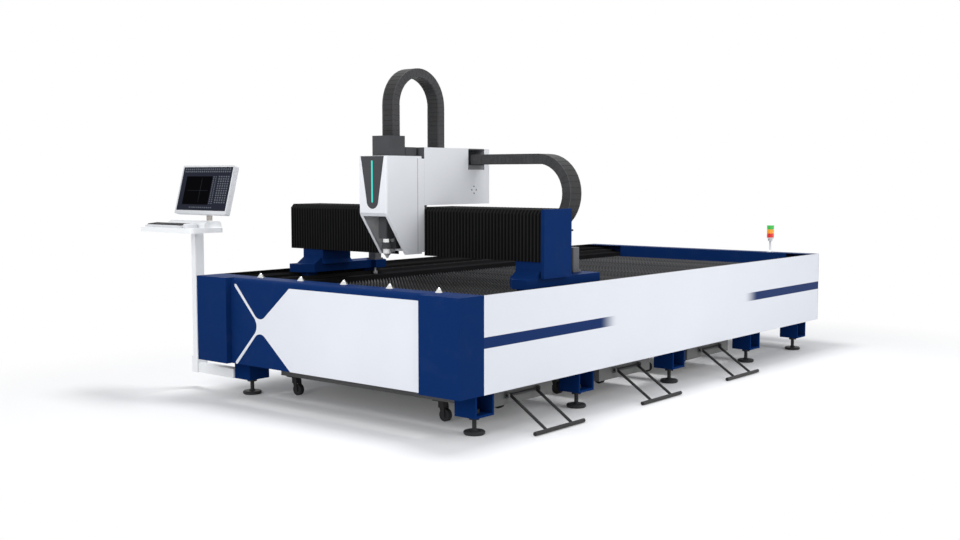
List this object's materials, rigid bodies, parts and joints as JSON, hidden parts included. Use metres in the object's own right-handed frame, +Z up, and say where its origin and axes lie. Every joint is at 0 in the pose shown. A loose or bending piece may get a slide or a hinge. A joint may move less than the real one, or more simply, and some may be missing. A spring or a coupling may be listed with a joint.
{
  "type": "open-bed sheet laser cutting machine",
  "caption": "Open slat-bed laser cutter: gantry on side rails, covered cutting head with drag chains, side console with monitor, and scrap trolleys below.",
  "frame": {"origin": "middle of the whole machine's footprint, at floor level", "axes": "+Y along the bed from the console end to the rear, +X towards the side with the trolley handles, +Z up"},
  "size_m": [2.9898, 4.762, 2.138],
  "materials": {
    "blue_paint": "satin",
    "white_paint": "satin",
    "black_paint": "satin",
    "grey_paint": "satin",
    "pale_paint": "satin",
    "steel": "ground",
    "slat_steel": "rolled",
    "bright_steel": "polished",
    "aluminium": "satin",
    "dark_trim": "matt",
    "bellows_rubber": "matt",
    "chain_plastic": "matt",
    "black_plastic": "matt",
    "white_plastic": "satin",
    "screen": "gloss",
    "green_lens": "gloss",
    "amber_lens": "gloss",
    "red_lens": "gloss",
    "teal_light": "gloss"
  },
  "bodies": {
    "bed": {"bed_frame": "blue_paint", "foot_screws": "grey_paint", "foot_pads": "black_paint", "right_side_panel": "white_paint", "left_side_panel": "white_paint", "left_trough": "grey_paint", "rail_covers": "black_paint", "corner_covers": "blue_paint", "front_cover": "blue_paint", "front_field": "white_paint", "rear_cover": "blue_paint", "slat_combs": "slat_steel", "slats": "slat_steel", "ball_transfers": "bright_steel", "y_rails": "steel", "beacon_stem": "pale_paint", "beacon_green": "green_lens", "beacon_amber": "amber_lens", "beacon_red": "red_lens", "console_post": "white_paint", "keyboard_tray": "white_paint", "tray_hood": "white_paint", "keyboard_and_mouse": "black_plastic", "monitor_stand": "pale_paint"},
    "monitor": {"monitor_housing": "white_plastic", "monitor_screen": "screen"},
    "gantry": {"gantry_beam": "blue_paint", "right_pedestal": "blue_paint", "left_pedestal": "blue_paint", "x_rails": "steel", "bellows_left": "bellows_rubber", "bellows_right": "bellows_rubber", "chain_tray": "pale_paint", "y_motors": "pale_paint"},
    "left_gear": {"left_pinion": "steel"},
    "right_gear": {"right_pinion": "steel"},
    "carriage": {"saddle": "white_paint", "chain_box": "white_paint", "x_motor": "black_paint", "head_cover": "white_paint", "cover_inlay": "dark_trim", "light_strip": "teal_light", "z_rails": "steel", "z_motor": "dark_trim", "x_chain_upper": "chain_plastic", "z_chain": "chain_plastic"},
    "cross_gear": {"x_pinion": "steel"},
    "lift_screw": {"z_screw": "steel"},
    "chain_loop": {"x_chain_bend": "chain_plastic"},
    "head": {"z_plate": "aluminium", "head_body": "dark_trim", "head_ring": "bright_steel", "nozzle": "bright_steel", "fibre_box": "dark_trim"},
    "trolley_1": {"trolley_1": "grey_paint"},
    "handle_1": {"handle_1": "black_paint"},
    "trolley_2": {"trolley_2": "grey_paint"},
    "handle_2": {"handle_2": "black_paint"},
    "trolley_3": {"trolley_3": "grey_paint"},
    "handle_3": {"handle_3": "black_paint"}
  },
  "joints": [
    {"name": "gantry_travel", "type": "slide", "parent": "bed", "child": "gantry", "axis": [0, 1, 0], "range_m": [-0.25, 2.8]},
    {"name": "head_traverse", "type": "slide", "parent": "gantry", "child": "carriage", "axis": [1, 0, 0], "range_m": [-0.6, 0.6], "deforming": ["bellows_left", "bellows_right", "x_chain_upper"]},
    {"name": "chain_follow", "type": "slide", "parent": "carriage", "child": "chain_loop", "axis": [1, 0, 0], "range_m": [-0.305, 0.305]},
    {"name": "head_lift", "type": "slide", "parent": "carriage", "child": "head", "axis": [0, 0, 1], "range_m": [-0.2, 0], "deforming": ["z_chain"]},
    {"name": "lift_turn", "type": "hinge", "parent": "carriage", "child": "lift_screw", "pos_m": [0.17009, -1.556, 0.985], "axis": [0, 0, 1], "range_deg": [-7300, 30]},
    {"name": "left_gear_turn", "type": "hinge", "parent": "gantry", "child": "left_gear", "pos_m": [-0.71161, -0.908, 0.735], "axis": [0, 0, 1], "range_deg": [-850, 9000]},
    {"name": "right_gear_turn", "type": "hinge", "parent": "gantry", "child": "right_gear", "pos_m": [1.05179, -0.908, 0.735], "axis": [0, 0, 1], "range_deg": [-9000, 850]},
    {"name": "cross_gear_turn", "type": "hinge", "parent": "carriage", "child": "cross_gear", "pos_m": [0.17009, -1.3223, 1.215], "axis": [0, 0, 1], "range_deg": [-1950, 1950]},
    {"name": "monitor_swing", "type": "hinge", "parent": "bed", "child": "monitor", "pos_m": [-1.06191, -2.127, 1.28], "axis": [1, 0, 0], "range_deg": [-8, 15]},
    {"name": "trolley_1_roll", "type": "slide", "parent": "bed", "child": "trolley_1", "axis": [1, 0, 0], "range_m": [0, 1.3]},
    {"name": "handle_1_swing", "type": "hinge", "parent": "trolley_1", "child": "handle_1", "pos_m": [1.21609, -1.63202, 0.186], "axis": [0, -1, 0], "range_deg": [0, 32.96]},
    {"name": "trolley_2_roll", "type": "slide", "parent": "bed", "child": "trolley_2", "axis": [1, 0, 0], "range_m": [0, 1.3]},
    {"name": "handle_2_swing", "type": "hinge", "parent": "trolley_2", "child": "handle_2", "pos_m": [1.21609, -0.49804, 0.186], "axis": [0, -1, 0], "range_deg": [0, 32.96]},
    {"name": "trolley_3_roll", "type": "slide", "parent": "bed", "child": "trolley_3", "axis": [1, 0, 0], "range_m": [0, 1.3]},
    {"name": "handle_3_swing", "type": "hinge", "parent": "trolley_3", "child": "handle_3", "pos_m": [1.21609, 0.63609, 0.186], "axis": [0, -1, 0], "range_deg": [0, 32.96]}
  ],
  "couplings": [
    {"joint": "chain_follow", "follows": "head_traverse", "ratio": -0.5},
    {"joint": "lift_turn", "follows": "head_lift", "rad_per_m": 628.32},
    {"joint": "left_gear_turn", "follows": "gantry_travel", "rad_per_m": 55.556},
    {"joint": "right_gear_turn", "follows": "gantry_travel", "rad_per_m": -55.556},
    {"joint": "cross_gear_turn", "follows": "head_traverse", "rad_per_m": 55.556}
  ]
}
